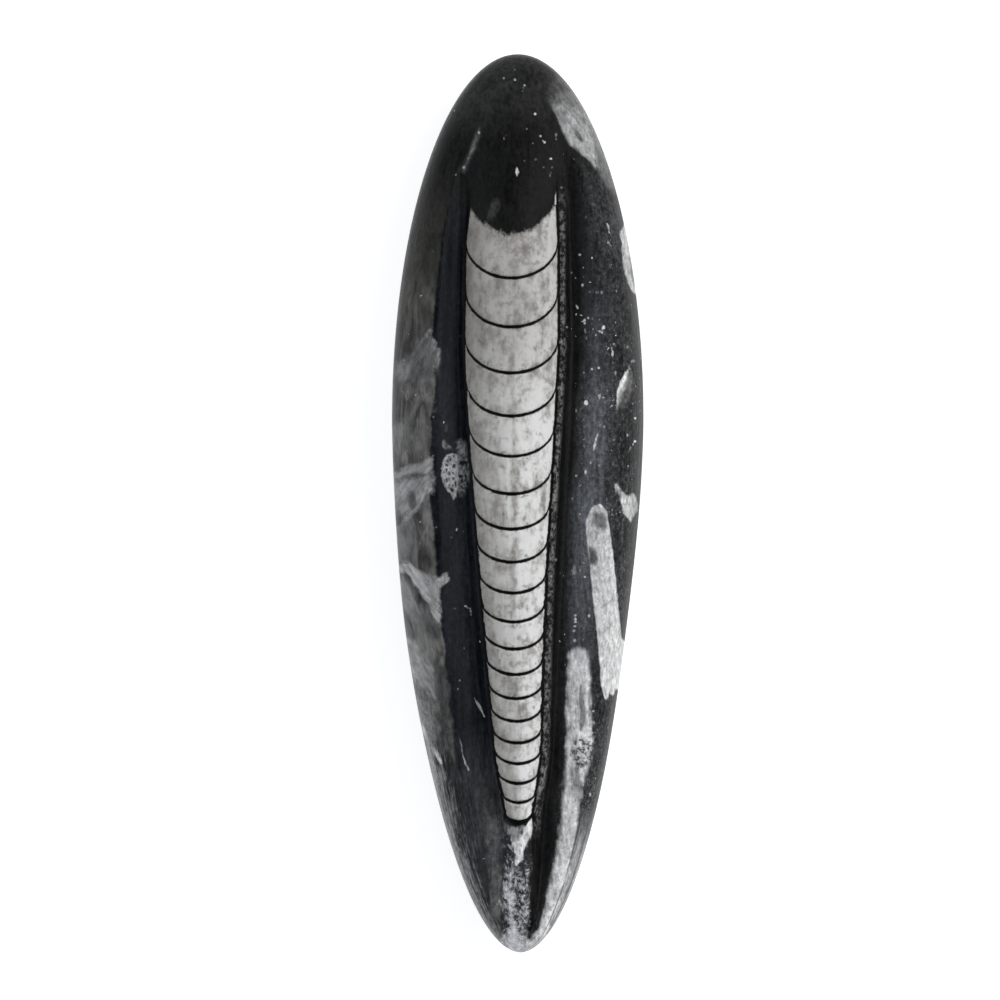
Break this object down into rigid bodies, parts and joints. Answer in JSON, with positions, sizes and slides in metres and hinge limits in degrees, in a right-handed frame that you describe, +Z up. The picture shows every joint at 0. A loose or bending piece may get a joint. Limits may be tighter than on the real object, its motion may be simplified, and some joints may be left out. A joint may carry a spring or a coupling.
{
  "type": "orthoceras fossil",
  "caption": "Straight chambered orthoceras shell standing proud in a polished almond of black limestone with a flat back.",
  "frame": {"origin": "middle of the bounding box, on the surface that the stone rests on", "axes": "+Y along the stone towards its blunt end, where the shell's mouth was; +Z up out of the carved face; +X to the right seen from above with +Y away"},
  "size_m": [0.042, 0.15, 0.0245],
  "materials": {
    "polished_limestone": "polished black limestone, satin to gloss, with pale grey calcite chambers and patches"
  },
  "bodies": {
    "root": {"orthoceras_stone": "polished_limestone"}
  },
  "joints": []
}
